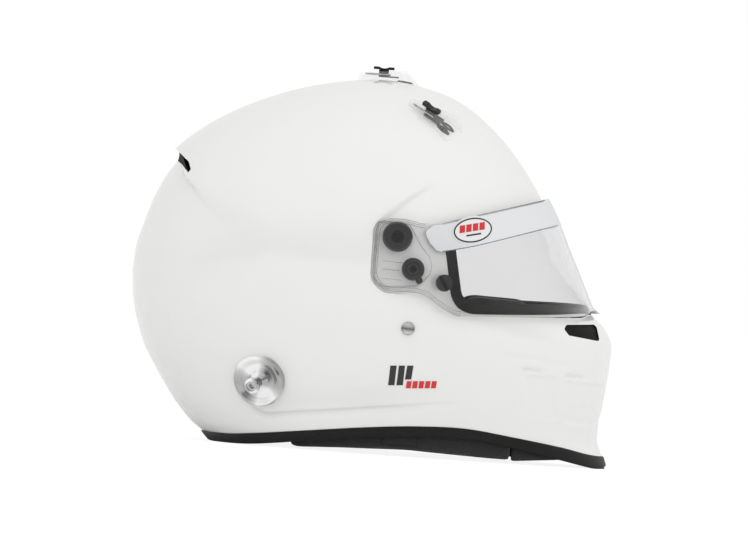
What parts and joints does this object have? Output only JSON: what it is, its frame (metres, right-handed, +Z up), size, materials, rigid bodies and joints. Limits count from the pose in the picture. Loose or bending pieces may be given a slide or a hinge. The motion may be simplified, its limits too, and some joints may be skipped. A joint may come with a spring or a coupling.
{
  "type": "auto racing helmet",
  "caption": "Full-face auto racing helmet with a clear flip-up shield, sliding top vents, head restraint anchors, edge trim, foam liner, cheek pads and D-ring chin strap",
  "frame": {"origin": "on the ground under the middle of the helmet's outer box, as it stands on its edge trim", "axes": "+X forward out of the eye opening, +Y to the wearer's left, +Z up"},
  "size_m": [0.3453, 0.2548, 0.273],
  "materials": {
    "shell_paint": "white gelcoat and clear coat over fibre laminate",
    "seal_rubber": "black moulded rubber",
    "clear_shield": "clear polycarbonate, polished",
    "silver_film": "silver film, satin",
    "black_plastic": "black moulded plastic, satin",
    "black_metal": "black anodised aluminium",
    "steel": "bright steel",
    "aluminium": "turned aluminium",
    "clear_plastic": "clear moulded plastic",
    "liner_foam": "black expanded foam",
    "lining_fabric": "black brushed lining fabric",
    "webbing": "black woven webbing"
  },
  "bodies": {
    "helmet": {"shell": "shell_paint", "edge_trim": "seal_rubber", "eyeport_gasket": "seal_rubber", "side_plate_right": "black_plastic", "side_plate_left": "black_plastic", "chin_vent_mesh_right": "black_plastic", "chin_vent_mesh_left": "black_plastic", "rear_vent_mesh": "black_plastic", "pivot_screw_right": "black_metal", "pivot_screw_left": "black_metal", "detent_screw_right": "steel", "detent_screw_left": "steel", "strap_rivet_right": "steel", "strap_rivet_left": "steel", "anchor_screw_right": "steel", "anchor_screw_left": "steel", "top_vent_pins": "steel", "anchor_dish_right": "aluminium", "anchor_dish_left": "aluminium", "anchor_post_right": "aluminium", "anchor_post_left": "aluminium", "top_vent_cover_centre": "clear_plastic", "top_vent_cover_right": "clear_plastic", "top_vent_cover_left": "clear_plastic", "impact_liner": "liner_foam", "chin_foam": "liner_foam", "comfort_liner": "lining_fabric", "cheek_pad_right": "lining_fabric", "cheek_pad_left": "lining_fabric", "neck_roll": "lining_fabric", "chin_curtain": "lining_fabric", "chin_strap_right": "webbing", "chin_strap_left": "webbing"},
    "shield": {"shield": "clear_shield", "shield_strip": "silver_film", "tearoff_post_right": "black_metal", "tearoff_post_left": "black_metal"},
    "vent_slider_centre": {"top_vent_slider_centre": "black_plastic"},
    "vent_slider_right": {"top_vent_slider_right": "black_plastic"},
    "vent_slider_left": {"top_vent_slider_left": "black_plastic"},
    "detent_right": {"detent_cam_right": "black_metal"},
    "detent_left": {"detent_cam_left": "black_metal"},
    "d_rings": {"d_ring_inner": "steel", "d_ring_outer": "steel"}
  },
  "joints": [
    {"name": "shield_hinge", "type": "hinge", "parent": "helmet", "child": "shield", "pos_m": [0.01281, 0, 0.1538], "axis": [0, -1, 0], "range_deg": [0, 44]},
    {"name": "vent_slide_centre", "type": "slide", "parent": "helmet", "child": "vent_slider_centre", "axis": [1, 0, 0], "range_m": [0, 0.008]},
    {"name": "vent_slide_right", "type": "slide", "parent": "helmet", "child": "vent_slider_right", "axis": [0.8189, -0.327, -0.4716], "range_m": [0, 0.008]},
    {"name": "vent_slide_left", "type": "slide", "parent": "helmet", "child": "vent_slider_left", "axis": [0.8189, 0.327, -0.4716], "range_m": [0, 0.008]},
    {"name": "detent_hinge_right", "type": "hinge", "parent": "helmet", "child": "detent_right", "pos_m": [0.0253, -0.122, 0.13191], "axis": [0, -1, 0], "range_deg": [0, 90]},
    {"name": "detent_hinge_left", "type": "hinge", "parent": "helmet", "child": "detent_left", "pos_m": [0.0253, 0.122, 0.13191], "axis": [0, -1, 0], "range_deg": [0, 90]},
    {"name": "d_ring_hinge", "type": "hinge", "parent": "helmet", "child": "d_rings", "pos_m": [0.02479, -0.0532, 0.058], "axis": [1, 0, 0], "range_deg": [0, 60]}
  ]
}
